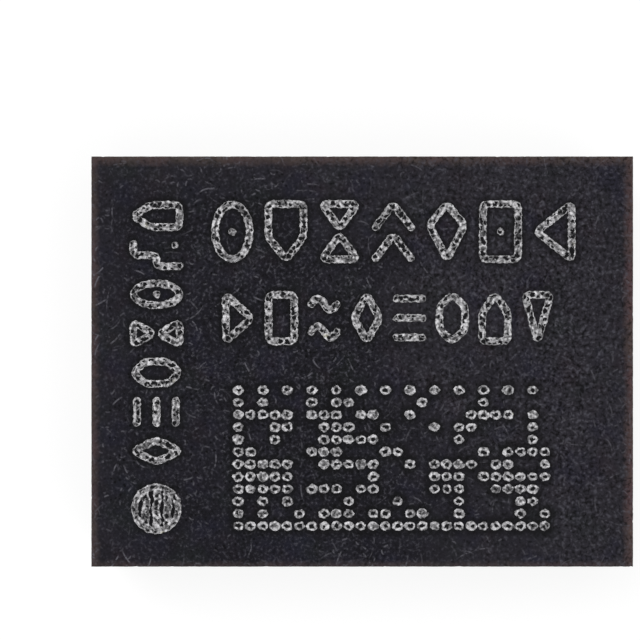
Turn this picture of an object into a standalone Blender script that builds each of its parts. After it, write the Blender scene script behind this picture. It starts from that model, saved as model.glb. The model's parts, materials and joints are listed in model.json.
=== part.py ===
# A moulded land-grid power supply chip: a black moulding-compound cap over a
# small laminate board, with gold lands underneath and the circuit inside.
# Frame: metres, +X along the long side, +Y along the short side, +Z up through
# the moulded top. The origin is the centre of the underside, on the plane of
# the lands. Land 1 is at the corner where X and Y are both lowest.

import math

import bmesh
import bpy
from mathutils import Matrix, Vector

MM = 0.001

# Outline and layers, from the underside up
BODY_LENGTH = 3.30 * MM
BODY_WIDTH = 2.50 * MM
LAND_STANDS_PROUD = 0.005 * MM
MASK_THICKNESS = 0.020 * MM
LAMINATE_THICKNESS = 0.190 * MM
MOULD_THICKNESS = 0.500 * MM
BOND_GAP = 0.002 * MM  # left between bonded faces, so that no two solids share one
MOULD_EDGE_BREAK = 0.015 * MM

# Lands of the outer ring
LAND_COLUMN_COUNT = 7
LAND_ROW_COUNT = 5
LAND_EDGE_MARGIN = 0.135 * MM
LAND_WIDTH = 0.25 * MM
LAND_LENGTH = 0.30 * MM
LAND_CORNER = 0.015 * MM
MASK_CLEARANCE = 0.036 * MM
MASK_WINDOW_CORNER = 0.030 * MM

# Thermal lands in the middle
THERMAL_COLUMN_COUNT = 3
THERMAL_ROW_COUNT = 2
THERMAL_SPACING = 0.150 * MM
THERMAL_TO_RING = 0.200 * MM

# Copper-filled vias on top of the lands
VIA_DIAMETER = 0.100 * MM
VIA_HEIGHT = 0.060 * MM
VIA_PITCH = 0.250 * MM  # on a thermal land, which has as many as fit
VIA_INSET = 0.135 * MM  # at least, from a thermal land's edges to the middle of a via

# Flip-chip regulator die on copper pillars
DIE_LENGTH = 1.10 * MM
DIE_WIDTH = 0.90 * MM
DIE_THICKNESS = 0.200 * MM
PILLAR_COLUMN_COUNT = 5
PILLAR_ROW_COUNT = 4
PILLAR_INSET = 0.150 * MM  # from the die's edges to the middle of the outer pillars
PILLAR_DIAMETER = 0.070 * MM
PILLAR_TIP_DIAMETER = 0.084 * MM
PILLAR_HEIGHT = 0.070 * MM

# Chip components: length, width, height, and how far the metal end wraps
CAPACITOR_SIZE = (0.60 * MM, 0.30 * MM, 0.30 * MM)
CAPACITOR_END = 0.150 * MM
SMALL_CHIP_SIZE = (0.40 * MM, 0.20 * MM, 0.20 * MM)
SMALL_CHIP_END = 0.100 * MM
INDUCTOR_SIZE = (1.00 * MM, 0.60 * MM, 0.36 * MM)
INDUCTOR_END = 0.240 * MM
END_METAL = 0.010 * MM
CERAMIC_CORNER = 0.008 * MM
SOLDER_HEIGHT = 0.030 * MM
SOLDER_MARGIN = 0.020 * MM  # the solder foot reaches this far past the metal end
OPENING_GAP = 0.010 * MM  # round solder feet and pillars, in the upper mask

# Floor plan
BOARD_KEEPOUT = 0.150 * MM
CHIP_SPACING = 0.140 * MM  # between the two output capacitors

ROUND_SIDES = 12
CORNER_STEPS = 2

# Heights that follow from the layers
LAND_TOP = LAND_STANDS_PROUD + MASK_THICKNESS
LAMINATE_BOTTOM = LAND_TOP + BOND_GAP
LAMINATE_TOP = LAMINATE_BOTTOM + LAMINATE_THICKNESS
UPPER_MASK_BOTTOM = LAMINATE_TOP + BOND_GAP
UPPER_MASK_TOP = UPPER_MASK_BOTTOM + MASK_THICKNESS
MOULD_BOTTOM = UPPER_MASK_TOP + BOND_GAP
PART_BOTTOM = LAMINATE_TOP + BOND_GAP + SOLDER_HEIGHT
DIE_BOTTOM = LAMINATE_TOP + BOND_GAP + PILLAR_HEIGHT


def clear_scene():
    for obj in list(bpy.data.objects):
        bpy.data.objects.remove(obj, do_unlink=True)


def make_material(name, colour, roughness, metallic=0.0):
    material = bpy.data.materials.new(name)
    material.use_nodes = True
    shader = material.node_tree.nodes["Principled BSDF"]
    shader.inputs["Base Color"].default_value = (*colour, 1.0)
    shader.inputs["Roughness"].default_value = roughness
    shader.inputs["Metallic"].default_value = metallic
    material.diffuse_color = (*colour, 1.0)
    return material


def mesh_from(bm, name):
    bmesh.ops.recalc_face_normals(bm, faces=bm.faces)
    mesh = bpy.data.meshes.new(name)
    bm.to_mesh(mesh)
    bm.free()
    return mesh


def place(name, mesh, material=None, location=(0, 0, 0), turn=0.0):
    obj = bpy.data.objects.new(name, mesh)
    obj.location = location
    obj.rotation_euler.z = turn
    bpy.context.scene.collection.objects.link(obj)
    if material and not mesh.materials:
        mesh.materials.append(material)
    return obj


def hide_helper(obj):
    obj.hide_render = True
    obj.display_type = "WIRE"
    return obj


def add_boolean(obj, other, operation):
    modifier = obj.modifiers.new(operation.title(), "BOOLEAN")
    modifier.operation = operation
    modifier.object = other
    modifier.solver = "EXACT"


def evaluated_mesh(obj, name):
    """The object's mesh with its modifiers applied, for copies to share."""
    bpy.context.view_layer.update()
    graph = bpy.context.evaluated_depsgraph_get()
    mesh = bpy.data.meshes.new_from_object(obj.evaluated_get(graph))
    mesh.name = name
    return mesh


def add_block(bm, size, centre, bottom):
    """A plain block standing on the height bottom."""
    made = bmesh.ops.create_cube(bm, size=1.0)
    middle = Vector((centre[0], centre[1], bottom + size[2] / 2))
    stretch = Matrix.Translation(middle) @ Matrix.Diagonal((*size, 1.0))
    bmesh.ops.transform(bm, matrix=stretch, verts=made["verts"])
    return made["verts"]


def add_soft_block(bm, size, centre, bottom, corner, steps=2):
    """A block with all its edges rounded."""
    verts = add_block(bm, size, centre, bottom)
    edges = {edge for vert in verts for edge in vert.link_edges}
    bmesh.ops.bevel(
        bm,
        geom=list(edges),
        offset=corner,
        segments=steps,
        profile=0.5,
        affect="EDGES",
        clamp_overlap=True,
        material=-1,
    )


def add_plate(bm, length, width, corner, centre, bottom, top):
    """A flat plate with round corners in plan."""
    made = bmesh.ops.create_grid(bm, x_segments=1, y_segments=1, size=0.5)
    stretch = Matrix.Translation((*centre, bottom)) @ Matrix.Diagonal((length, width, 1, 1))
    bmesh.ops.transform(bm, matrix=stretch, verts=made["verts"])
    rounded = bmesh.ops.bevel(
        bm,
        geom=made["verts"],
        offset=corner,
        segments=CORNER_STEPS,
        profile=0.5,
        affect="VERTICES",
        material=-1,
    )
    face = next(f for f in bm.faces if set(rounded["verts"]) <= set(f.verts))
    lifted = bmesh.ops.extrude_face_region(bm, geom=[face])
    top_verts = [item for item in lifted["geom"] if isinstance(item, bmesh.types.BMVert)]
    bmesh.ops.translate(bm, verts=top_verts, vec=(0, 0, top - bottom))


def add_round(bm, lower_diameter, upper_diameter, centre, bottom, top):
    """A round peg, or a tapered one where its two diameters differ."""
    place_at = Matrix.Translation((*centre, (bottom + top) / 2))
    bmesh.ops.create_cone(
        bm,
        cap_ends=True,
        segments=ROUND_SIDES,
        radius1=lower_diameter / 2,
        radius2=upper_diameter / 2,
        depth=top - bottom,
        matrix=place_at,
    )


def spread(count, pitch):
    """Places for count things, pitch apart, about zero."""
    return [(i - (count - 1) / 2) * pitch for i in range(count)]


def ring_lands():
    """Centre, size and via centres of each land of the ring, from land 1 on,
    counted anticlockwise as seen from above."""
    half_x = BODY_LENGTH / 2 - LAND_EDGE_MARGIN
    half_y = BODY_WIDTH / 2 - LAND_EDGE_MARGIN
    pitch_x = (2 * half_x - LAND_WIDTH) / (LAND_COLUMN_COUNT - 1)
    pitch_y = (2 * half_y - LAND_LENGTH) / (LAND_ROW_COUNT - 1)
    columns = spread(LAND_COLUMN_COUNT, pitch_x)
    rows = spread(LAND_ROW_COUNT, pitch_y)
    end_size = (LAND_WIDTH, LAND_LENGTH)
    side_size = (LAND_LENGTH, LAND_LENGTH)
    side_x = half_x - LAND_LENGTH / 2
    front = [(x, rows[0], end_size) for x in columns]
    right = [(side_x, y, side_size) for y in rows[1:-1]]
    back = [(x, rows[-1], end_size) for x in reversed(columns)]
    left = [(-side_x, y, side_size) for y in reversed(rows[1:-1])]
    return [((x, y), size, [(0, 0)]) for x, y, size in front + right + back + left]


def via_count(side):
    """How many vias fit along one side of a thermal land."""
    return 1 + max(0, math.floor((side - 2 * VIA_INSET) / VIA_PITCH))


def thermal_lands():
    """Centre, size and via centres of each thermal land inside the ring."""
    inside = LAND_EDGE_MARGIN + LAND_LENGTH + THERMAL_TO_RING
    spaces_x = (THERMAL_COLUMN_COUNT - 1) * THERMAL_SPACING
    spaces_y = (THERMAL_ROW_COUNT - 1) * THERMAL_SPACING
    length = (BODY_LENGTH - 2 * inside - spaces_x) / THERMAL_COLUMN_COUNT
    width = (BODY_WIDTH - 2 * inside - spaces_y) / THERMAL_ROW_COUNT
    via_x = spread(via_count(length), VIA_PITCH)
    via_y = spread(via_count(width), VIA_PITCH)
    vias = [(x, y) for x in via_x for y in via_y]
    return [
        ((x, y), (length, width), vias)
        for y in spread(THERMAL_ROW_COUNT, width + THERMAL_SPACING)
        for x in spread(THERMAL_COLUMN_COUNT, length + THERMAL_SPACING)
    ]


def land_mesh(size, vias, material):
    """One land with its filled vias standing on it, about the land's centre."""
    plate = bmesh.new()
    add_plate(plate, *size, LAND_CORNER, (0, 0), 0, LAND_TOP)
    land = place("land_plate", mesh_from(plate, "land_plate"))
    posts = bmesh.new()
    for via in vias:
        add_round(posts, VIA_DIAMETER, VIA_DIAMETER, via, LAND_TOP / 2, LAND_TOP + VIA_HEIGHT)
    post = place("land_vias", mesh_from(posts, "land_vias"))
    add_boolean(land, post, "UNION")
    mesh = evaluated_mesh(land, "land")
    mesh.materials.clear()
    mesh.materials.append(material)
    bpy.data.objects.remove(land)
    bpy.data.objects.remove(post)
    return mesh


def make_lands(gold):
    meshes = {}
    ring = [(f"land_{i:02d}", *land) for i, land in enumerate(ring_lands(), 1)]
    middle = [(f"thermal_land_{i}", *land) for i, land in enumerate(thermal_lands(), 1)]
    for name, centre, size, vias in ring + middle:
        if size not in meshes:
            meshes[size] = land_mesh(size, vias, gold)
        place(name, meshes[size], location=(*centre, 0))


def make_layer(name, material, bottom, top, openings):
    """A board layer of the full outline, cut by the openings' helper."""
    bm = bmesh.new()
    add_block(bm, (BODY_LENGTH, BODY_WIDTH, top - bottom), (0, 0), bottom)
    layer = place(name, mesh_from(bm, name), material)
    add_boolean(layer, openings, "DIFFERENCE")
    return layer


def make_lower_mask(green):
    """The underside's solder mask, with a window round each land."""
    bm = bmesh.new()
    for centre, size, _ in ring_lands() + thermal_lands():
        add_plate(
            bm,
            size[0] + 2 * MASK_CLEARANCE,
            size[1] + 2 * MASK_CLEARANCE,
            MASK_WINDOW_CORNER,
            centre,
            LAND_STANDS_PROUD - MASK_THICKNESS,
            LAND_TOP + MASK_THICKNESS,
        )
    windows = hide_helper(place("lower_windows", mesh_from(bm, "lower_windows")))
    make_layer("lower_solder_mask", green, LAND_STANDS_PROUD, LAND_TOP, windows)


def make_laminate(resin):
    """The glass-and-resin board, with a blind hole over each via."""
    bm = bmesh.new()
    hole = VIA_DIAMETER + 2 * BOND_GAP
    for centre, _, vias in ring_lands() + thermal_lands():
        for via in vias:
            at = (centre[0] + via[0], centre[1] + via[1])
            add_round(bm, hole, hole, at, 0, LAND_TOP + VIA_HEIGHT + BOND_GAP)
    holes = hide_helper(place("via_holes", mesh_from(bm, "via_holes")))
    make_layer("laminate_board", resin, LAMINATE_BOTTOM, LAMINATE_TOP, holes)


def die_centre():
    return (-BODY_LENGTH / 2 + BOARD_KEEPOUT + DIE_LENGTH / 2, 0)


def pillar_places():
    x0, y0 = die_centre()
    columns = spread(PILLAR_COLUMN_COUNT, (DIE_LENGTH - 2 * PILLAR_INSET) / (PILLAR_COLUMN_COUNT - 1))
    rows = spread(PILLAR_ROW_COUNT, (DIE_WIDTH - 2 * PILLAR_INSET) / (PILLAR_ROW_COUNT - 1))
    return [(x0 + x, y0 + y) for y in rows for x in columns]


def make_die(silicon):
    """The regulator die, face down, with its copper pillars."""
    bm = bmesh.new()
    add_block(bm, (DIE_LENGTH, DIE_WIDTH, DIE_THICKNESS), die_centre(), DIE_BOTTOM)
    die = place("regulator_die", mesh_from(bm, "regulator_die"), silicon)
    bm = bmesh.new()
    for centre in pillar_places():
        add_round(
            bm,
            PILLAR_TIP_DIAMETER,
            PILLAR_DIAMETER,
            centre,
            LAMINATE_TOP + BOND_GAP,
            DIE_BOTTOM + DIE_THICKNESS / 4,
        )
    pillars = hide_helper(place("die_pillars", mesh_from(bm, "die_pillars")))
    add_boolean(die, pillars, "UNION")


def chip_parts():
    """Name, size, wrap of the metal ends, centre and turn of each chip part."""
    inductor_length, inductor_width, _ = INDUCTOR_SIZE
    inductor_x = BODY_LENGTH / 2 - BOARD_KEEPOUT - inductor_width / 2
    die_right = die_centre()[0] + DIE_LENGTH / 2
    output_x = (die_right + inductor_x - inductor_width / 2) / 2
    back_y = BODY_WIDTH / 2 - BOARD_KEEPOUT - CAPACITOR_SIZE[1] / 2
    front_y = BODY_WIDTH / 2 - BOARD_KEEPOUT - SMALL_CHIP_SIZE[1] / 2
    back_pitch = (BODY_LENGTH - 2 * BOARD_KEEPOUT - CAPACITOR_SIZE[0]) / 2
    front_pitch = (BODY_LENGTH - 2 * BOARD_KEEPOUT - SMALL_CHIP_SIZE[0]) / 2
    back_x = spread(3, back_pitch)
    front_x = spread(3, front_pitch)
    output_y = spread(2, CAPACITOR_SIZE[1] + CHIP_SPACING)
    large = (CAPACITOR_SIZE, CAPACITOR_END)
    small = (SMALL_CHIP_SIZE, SMALL_CHIP_END)
    return [
        ("power_inductor", INDUCTOR_SIZE, INDUCTOR_END, (inductor_x, 0), math.pi / 2),
        ("input_capacitor_1", *large, (back_x[0], back_y), 0),
        ("input_capacitor_2", *large, (back_x[1], back_y), 0),
        ("supply_capacitor", *large, (back_x[2], back_y), 0),
        ("output_capacitor_1", *large, (output_x, output_y[0]), 0),
        ("output_capacitor_2", *large, (output_x, output_y[1]), 0),
        ("boost_capacitor", *small, (front_x[0], -front_y), 0),
        ("feedback_resistor_1", *small, (front_x[1], -front_y), 0),
        ("feedback_resistor_2", *small, (front_x[2], -front_y), 0),
    ]


def foot_of(size, wrap):
    """Length, width and centre of the solder foot under a metal end."""
    length = wrap + SOLDER_MARGIN
    return length, size[1], (size[0] / 2 + SOLDER_MARGIN - length / 2, 0)


def core_size(size, grow=0.0):
    """A chip part's body, inside its metal ends."""
    return tuple(side - 2 * END_METAL + 2 * grow for side in size)


def metal_end_mesh(size, wrap, tin):
    """The metal end on the +X side with its solder foot, about the part's centre."""
    bm = bmesh.new()
    wrap_size = (wrap, size[1], size[2])
    add_soft_block(bm, wrap_size, (size[0] / 2 - wrap / 2, 0), 0, CERAMIC_CORNER + END_METAL)
    end = place("metal_end", mesh_from(bm, "metal_end"))
    foot_length, foot_width, foot_centre = foot_of(size, wrap)
    bm = bmesh.new()
    add_block(bm, (foot_length, foot_width, SOLDER_HEIGHT + END_METAL / 2), foot_centre, -SOLDER_HEIGHT)
    foot = place("solder_foot", mesh_from(bm, "solder_foot"))
    bm = bmesh.new()
    space_corner = CERAMIC_CORNER + BOND_GAP
    add_soft_block(bm, core_size(size, BOND_GAP), (0, 0), END_METAL - BOND_GAP, space_corner, steps=1)
    core = place("core_space", mesh_from(bm, "core_space"))
    add_boolean(end, foot, "UNION")
    add_boolean(end, core, "DIFFERENCE")
    mesh = evaluated_mesh(end, "metal_end")
    mesh.materials.clear()
    mesh.materials.append(tin)
    for helper in (end, foot, core):
        bpy.data.objects.remove(helper)
    return mesh


def make_chip_parts(materials, tin):
    bodies, ends = {}, {}
    for name, size, wrap, centre, turn in chip_parts():
        kind = name.split("_")[1]
        if (kind, size) not in bodies:
            bm = bmesh.new()
            add_soft_block(bm, core_size(size), (0, 0), END_METAL, CERAMIC_CORNER, steps=1)
            bodies[kind, size] = mesh_from(bm, name)
        if size not in ends:
            ends[size] = metal_end_mesh(size, wrap, tin)
        at = (*centre, PART_BOTTOM)
        place(f"{name}_body", bodies[kind, size], materials[kind], at, turn)
        place(f"{name}_end_a", ends[size], location=at, turn=turn + math.pi)
        place(f"{name}_end_b", ends[size], location=at, turn=turn)


def turned_box(size, centre, offset, turn):
    """Plan size and centre of a box that sits offset from a turned part's centre."""
    swap = abs(math.sin(turn)) > 0.5
    plan = (size[1], size[0]) if swap else (size[0], size[1])
    shift = Vector((*offset, 0)) @ Matrix.Rotation(-turn, 3, "Z")
    return plan, (centre[0] + shift.x, centre[1] + shift.y)


def make_upper_mask(green):
    """The board's upper mask, with an opening for each solder foot and pillar."""
    bm = bmesh.new()
    low, high = LAMINATE_TOP - MASK_THICKNESS, UPPER_MASK_TOP + MASK_THICKNESS
    for centre in pillar_places():
        opening = PILLAR_TIP_DIAMETER + 2 * OPENING_GAP
        add_round(bm, opening, opening, centre, low, high)
    for _, size, wrap, centre, turn in chip_parts():
        foot_length, foot_width, (foot_x, _) = foot_of(size, wrap)
        for side in (-1, 1):
            plan, at = turned_box((foot_length, foot_width), centre, (side * foot_x, 0), turn)
            grown = (plan[0] + 2 * OPENING_GAP, plan[1] + 2 * OPENING_GAP, high - low)
            add_block(bm, grown, at, low)
    openings = hide_helper(place("upper_openings", mesh_from(bm, "upper_openings")))
    make_layer("upper_solder_mask", green, UPPER_MASK_BOTTOM, UPPER_MASK_TOP, openings)


def make_mould_cap(black):
    """The moulded cap: sawn sides, broken top edges, and a pocket moulded round
    each part. The compound also fills the space between the die's pillars."""
    bm = bmesh.new()
    verts = add_block(bm, (BODY_LENGTH, BODY_WIDTH, MOULD_THICKNESS), (0, 0), MOULD_BOTTOM)
    middle = MOULD_BOTTOM + MOULD_THICKNESS / 2
    edges = {e for v in verts for e in v.link_edges if max(w.co.z for w in e.verts) > middle}
    bmesh.ops.bevel(
        bm,
        geom=list(edges),
        offset=MOULD_EDGE_BREAK,
        segments=2,
        profile=0.5,
        affect="EDGES",
        material=-1,
    )
    cap = place("mould_cap", mesh_from(bm, "mould_cap"), black)

    bm = bmesh.new()
    grow = 2 * BOND_GAP
    die = (DIE_LENGTH + grow, DIE_WIDTH + grow, DIE_THICKNESS + grow)
    add_block(bm, die, die_centre(), DIE_BOTTOM - BOND_GAP)
    for _, size, wrap, centre, turn in chip_parts():
        reach = (size[0] + 2 * SOLDER_MARGIN, size[1])
        plan, at = turned_box(reach, centre, (0, 0), turn)
        low = LAMINATE_TOP
        high = PART_BOTTOM + size[2] + BOND_GAP
        add_block(bm, (plan[0] + grow, plan[1] + grow, high - low), at, low)
    pockets = hide_helper(place("mould_pockets", mesh_from(bm, "mould_pockets")))

    bm = bmesh.new()
    for centre in pillar_places():
        add_round(
            bm,
            PILLAR_TIP_DIAMETER + grow,
            PILLAR_TIP_DIAMETER + grow,
            centre,
            LAMINATE_TOP,
            DIE_BOTTOM + DIE_THICKNESS / 2,
        )
    pillar_holes = hide_helper(place("pillar_holes", mesh_from(bm, "pillar_holes")))
    add_boolean(cap, pockets, "DIFFERENCE")
    add_boolean(cap, pillar_holes, "DIFFERENCE")


def main():
    clear_scene()
    black = make_material("mould_compound", (0.021, 0.020, 0.026), 0.55)
    green = make_material("solder_mask", (0.010, 0.075, 0.060), 0.30)
    resin = make_material("laminate", (0.110, 0.080, 0.040), 0.60)
    gold = make_material("gold_land", (0.700, 0.440, 0.210), 0.45, 1.0)
    silicon = make_material("silicon", (0.090, 0.095, 0.110), 0.20, 0.6)
    tin = make_material("tin_end", (0.600, 0.600, 0.590), 0.35, 1.0)
    chip_bodies = {
        "capacitor": make_material("capacitor_ceramic", (0.300, 0.180, 0.100), 0.50),
        "resistor": make_material("resistor_glaze", (0.020, 0.020, 0.022), 0.30),
        "inductor": make_material("inductor_ferrite", (0.070, 0.065, 0.062), 0.65),
    }
    make_lands(gold)
    make_lower_mask(green)
    make_laminate(resin)
    make_upper_mask(green)
    make_die(silicon)
    make_chip_parts(chip_bodies, tin)
    make_mould_cap(black)


main()
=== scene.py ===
# %% [markdown]
# # A power supply chip
#
# The object is a flat black module, 3.3 mm long. A laser has marked its top, and
# gold lands under it carry the current to a circuit board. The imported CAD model
# gives every solid its true place. This script adds what the eye sees: the
# grain of the moulding compound, the frothed laser marks, the sawn sides and
# the plated lands.
#
# Blender's tools treat very small lengths as zero. So this script shapes each
# mesh in microns, thousandths of a millimetre, and then scales it down to metres.

# %% The CAD model, and the measures taken from it
import json
import math
import random
from functools import reduce

import bmesh
import bpy
from mathutils import Matrix, Vector, kdtree, noise


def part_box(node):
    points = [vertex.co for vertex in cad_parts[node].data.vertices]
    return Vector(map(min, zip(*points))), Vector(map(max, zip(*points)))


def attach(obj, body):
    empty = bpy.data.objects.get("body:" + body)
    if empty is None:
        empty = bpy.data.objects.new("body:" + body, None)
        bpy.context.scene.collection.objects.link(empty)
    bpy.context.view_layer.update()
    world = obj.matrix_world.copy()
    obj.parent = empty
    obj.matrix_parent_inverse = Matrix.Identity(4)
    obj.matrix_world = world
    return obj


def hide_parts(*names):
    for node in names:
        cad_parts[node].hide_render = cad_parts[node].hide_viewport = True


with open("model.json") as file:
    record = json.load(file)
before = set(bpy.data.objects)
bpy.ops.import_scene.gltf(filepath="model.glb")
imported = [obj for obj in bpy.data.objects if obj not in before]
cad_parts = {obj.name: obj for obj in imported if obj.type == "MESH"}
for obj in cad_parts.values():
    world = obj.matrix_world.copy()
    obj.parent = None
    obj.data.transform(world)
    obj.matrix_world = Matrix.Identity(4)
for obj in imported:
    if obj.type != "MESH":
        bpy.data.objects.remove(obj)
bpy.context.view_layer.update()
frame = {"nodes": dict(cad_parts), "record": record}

MICRON = 1e-6
SAME_SPOT = 0.05
random.seed(7)


def microns_of(node):
    """Lowest and highest corner of a CAD node, in microns."""
    low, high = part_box(node)
    return low / MICRON, high / MICRON


def merged_copy(node):
    """A CAD node's mesh as a bmesh in microns, with its loose triangles joined."""
    bm = bmesh.new()
    bm.from_mesh(frame["nodes"][node].data)
    bmesh.ops.scale(bm, vec=(1 / MICRON,) * 3, verts=bm.verts)
    bmesh.ops.remove_doubles(bm, verts=bm.verts, dist=SAME_SPOT)
    return bm


def add_object(name, data):
    made = bpy.data.objects.new(name, data)
    bpy.context.scene.collection.objects.link(made)
    return made


cap_low, cap_high = microns_of("mould_cap")
HALF_X, HALF_Y, TOP = cap_high
CAP_BOTTOM = cap_low.z
LONG, WIDE, TALL = 2 * HALF_X, 2 * HALF_Y, TOP - CAP_BOTTOM
print("body", LONG, "by", WIDE, "microns, top at", TOP, "cap from", CAP_BOTTOM)

# %% [markdown]
# ## The camera
#
# The photograph looks straight down, so the camera hangs over the chip and isn't
# turned. A long lens keeps the sides from spreading. Its height follows from how
# wide a piece of the world the picture shows. It hangs left of the middle and
# behind it, because the chip lies low and right in the picture. The near clip is
# tiny, or the chip would be cut away.

# %% Camera
VIEW_WIDTH = 3890
LENS, SENSOR = 100, 36
CAMERA_X, CAMERA_Y = -257, 253

camera_data = bpy.data.cameras.new("camera")
camera_data.lens = LENS
camera_data.sensor_width = SENSOR
camera_data.clip_start = 0.0005
camera_data.clip_end = 2
camera = add_object("camera", camera_data)
camera_height = TOP + VIEW_WIDTH * LENS / SENSOR
camera.location = Vector((CAMERA_X, CAMERA_Y, camera_height)) * MICRON
bpy.context.scene.camera = camera
bpy.context.scene.view_settings.view_transform = "Standard"
print("camera", round(camera_height), "microns up")

# %% [markdown]
# ## Node helpers
#
# A material is a small tree of nodes. Here `put` adds a node and gives back a
# `Wire`, which stands for what comes out of it. A Wire is calculated with as a
# number is: `a * b + 0.5` adds a multiplying node and an adding node. Another
# output of the same node is reached by its name, as in `cells["Color"]`, and
# `x, y, z = wire` takes all three. A colour may be written as a screen shows it.

# %% Wires and nodes


class Wire:
    """What comes out of a node."""

    def __init__(self, socket):
        self.socket, self.tree = socket, socket.id_data

    def __getitem__(self, name):
        return Wire(self.socket.node.outputs[name])

    def __add__(self, other):
        return calc("ADD", self, other)

    def __sub__(self, other):
        return calc("SUBTRACT", self, other)

    def __rsub__(self, other):
        return calc("SUBTRACT", other, self)

    def __mul__(self, other):
        return calc("MULTIPLY", self, other)

    def __truediv__(self, other):
        return calc("DIVIDE", self, other)

    def __rtruediv__(self, other):
        return calc("DIVIDE", other, self)

    def __abs__(self):
        return calc("ABSOLUTE", self)


def hexed(text):
    """A colour as a screen shows it, such as 26262c, made linear for the shader."""
    parts = [int(text[i : i + 2], 16) / 255 for i in (0, 2, 4)]
    linear = [p / 12.92 if p <= 0.04045 else ((p + 0.055) / 1.055) ** 2.4 for p in parts]
    return (*linear, 1)


def feed(socket, value):
    """Gives a socket a number, a screen colour or what a wire carries."""
    if isinstance(value, Wire):
        value.tree.links.new(value.socket, socket)
    else:
        socket.default_value = hexed(value) if isinstance(value, str) else value


def put(tree, kind, sockets=(), **settings):
    made = tree.nodes.new("ShaderNode" + kind)
    for name, value in settings.items():
        setattr(made, name, value)
    for name, value in dict(sockets).items():
        feed(made.inputs[name], value)
    return Wire(made.outputs[0])


def calc(operation, *values, kind="Math"):
    tree = next(v.tree for v in values if isinstance(v, Wire))
    return put(tree, kind, dict(enumerate(values)), operation=operation)


def vector(operation, *values):
    return calc(operation, *values, kind="VectorMath")


def scaled(place, factor):
    return put(place.tree, "VectorMath", {0: place, "Scale": factor}, operation="SCALE")


def xyz(place):
    return put(place.tree, "SeparateXYZ", {0: place})


def most(*values):
    return reduce(lambda a, b: calc("MAXIMUM", a, b), values)


def least(*values):
    return reduce(lambda a, b: calc("MINIMUM", a, b), values)


# %% Shapes of curves and noise


def ramp(value, low, high):
    """Rises smoothly from 0 at low to 1 at high, or falls if low is the larger."""
    ends = {"Value": value, "From Min": low, "From Max": high}
    return put(value.tree, "MapRange", ends, interpolation_type="SMOOTHSTEP")


def slide(value, low, high, until=1):
    """Goes straight from low, where the value is 0, to high, where it is until."""
    ends = {"Value": value, "From Max": until, "To Min": low, "To Max": high}
    return put(value.tree, "MapRange", ends)


def choose(share, first, second):
    """The first number where share is 0 and the second where it is 1."""
    return put(share.tree, "Mix", {0: share, 2: first, 3: second})


def cloud(place, size, seed=0, detail=2, twist=0):
    """Soft noise from 0 to 1 with lumps about size microns across."""
    sockets = {"Vector": place, "W": seed, "Scale": 1 / size, "Detail": detail, "Distortion": twist}
    return put(place.tree, "TexNoise", sockets, noise_dimensions="4D")


# %% Colours and materials


def mix(share, first, second):
    return put(share.tree, "Mix", {0: share, 6: first, 7: second}, data_type="RGBA")[2]


def paint(under, colour, mask):
    """Lays a colour over what is under it, as far as the mask says."""
    return mix(mask, under, colour)


def attribute(tree, name):
    return put(tree, "Attribute", attribute_name=name)["Fac"]


def in_microns(tree):
    """The place of each point on the object, in microns."""
    return scaled(put(tree, "TexCoord")["Object"], 1 / MICRON)


def new_material(name, colour, roughness, metallic=0, specular=0.5):
    if isinstance(colour, str):
        colour = hexed(colour)
    material = bpy.data.materials.new(name)
    material.use_nodes = True
    material.diffuse_color = colour
    tree = material.node_tree
    shader = tree.nodes["Principled BSDF"].inputs
    feed(shader["Base Color"], colour)
    feed(shader["Roughness"], roughness)
    feed(shader["Metallic"], metallic)
    feed(shader["Specular IOR Level"], specular)
    return material, tree


def finish_material(material, colour, relief, depth, rough=None):
    """Feeds the shader. A relief of 1 stands for a depth in microns."""
    tree = material.node_tree
    shader = tree.nodes["Principled BSDF"].inputs
    bump = {"Height": relief, "Strength": 1, "Distance": depth * MICRON}
    feed(shader["Base Color"], colour)
    feed(shader["Normal"], put(tree, "Bump", bump))
    if rough is not None:
        feed(shader["Roughness"], rough)
    print(material.name, len(tree.nodes), "nodes")


print("screen grey 808080 is", round(hexed("808080")[0], 3), "in linear light")

# %% [markdown]
# ## Effects that several materials share
#
# A node group is built once and placed in each material with its own values.
# Hairs are the short curved flecks that moulding and handling leave. Each Voronoi
# cell gets one: its random colour turns, bends and dims a thin line through the
# cell's middle, and leaves many cells empty. Specks are the cores of such cells.
# Saw lines are a noise stretched along the cut. The rim group measures how far a
# point is from each side, because the colour changes in bands along the edges.

# %% Helpers for node groups


def new_group(name, numbers, results):
    """A group that takes a place and some numbers, and gives its results back."""
    tree = bpy.data.node_groups.new(name, "ShaderNodeTree")
    tree.interface.new_socket(name="Place", in_out="INPUT", socket_type="NodeSocketVector")
    for way, labels in (("INPUT", numbers), ("OUTPUT", results)):
        for label in labels:
            tree.interface.new_socket(name=label, in_out=way, socket_type="NodeSocketFloat")
    given = Wire(tree.nodes.new("NodeGroupInput").outputs[0])
    return tree, given, tree.nodes.new("NodeGroupOutput").inputs


def use(group, place, **numbers):
    return put(place.tree, "Group", {"Place": place, **numbers}, node_tree=group)


def drawn(cells):
    """The three random numbers that each Voronoi cell draws."""
    return put(cells.tree, "SeparateColor", {"Color": cells["Color"]})


# %% Hairs
HAIR_NUMBERS = ["Spacing", "Length", "Width", "Bend", "Share", "Shift"]

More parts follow.
